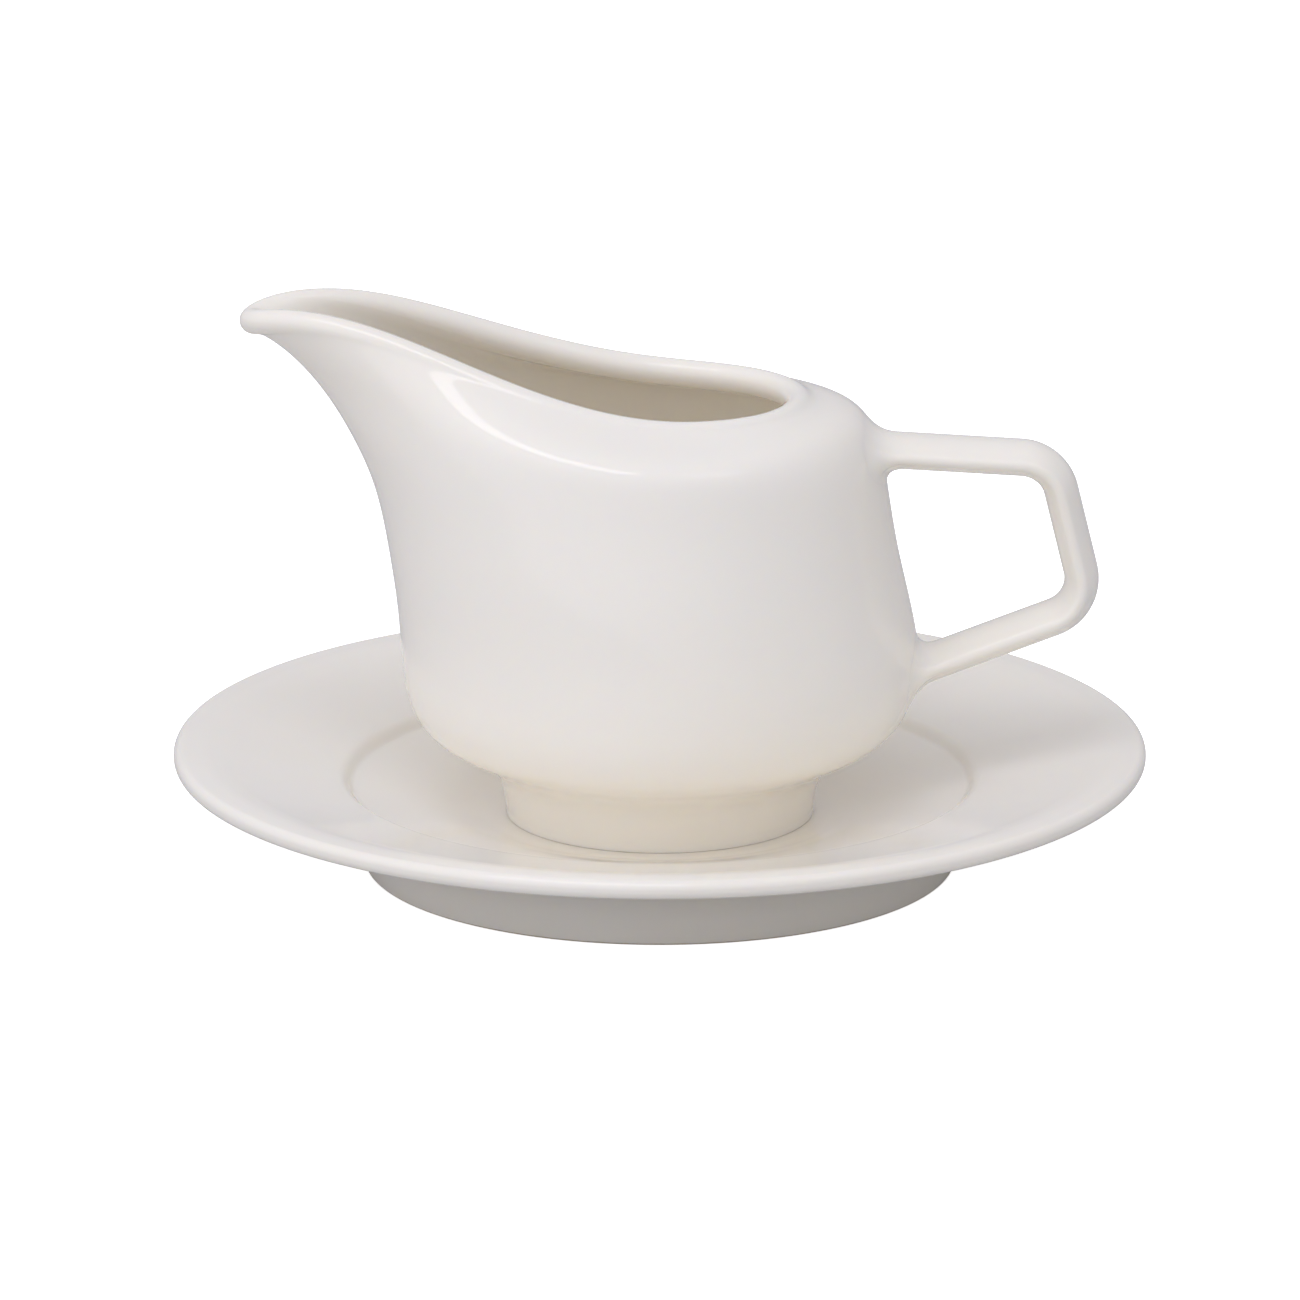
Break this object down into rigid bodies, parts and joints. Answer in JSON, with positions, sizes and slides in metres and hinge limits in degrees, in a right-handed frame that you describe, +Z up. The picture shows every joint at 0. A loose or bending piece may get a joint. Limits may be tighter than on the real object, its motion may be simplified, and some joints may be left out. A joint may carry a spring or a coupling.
{
  "type": "gravy boat",
  "caption": "White glazed gravy boat with a drawn spout and an angular loop handle, standing on its own round saucer.",
  "frame": {"origin": "on the saucer's axis at table level, at the centre of the saucer's foot ring, which is the bottom centre of the bounding box", "axes": "+Z up, +X towards the handle, -X towards the spout, +Y across the boat; the boat is symmetric about Y = 0"},
  "size_m": [0.18, 0.18, 0.1072],
  "materials": {
    "saucer_glaze": "glossy bone-white glaze, bare ground foot ring",
    "boat_glaze": "glossy bone-white glaze inside and out, bare ground foot",
    "handle_glaze": "glossy bone-white glaze"
  },
  "bodies": {
    "saucer": {"saucer": "saucer_glaze"},
    "boat": {"boat_body": "boat_glaze", "handle": "handle_glaze"}
  },
  "joints": [
    {"name": "boat_lift", "type": "slide", "parent": "saucer", "child": "boat", "axis": [0, 0, 1], "range_m": [0, 0.05]}
  ]
}
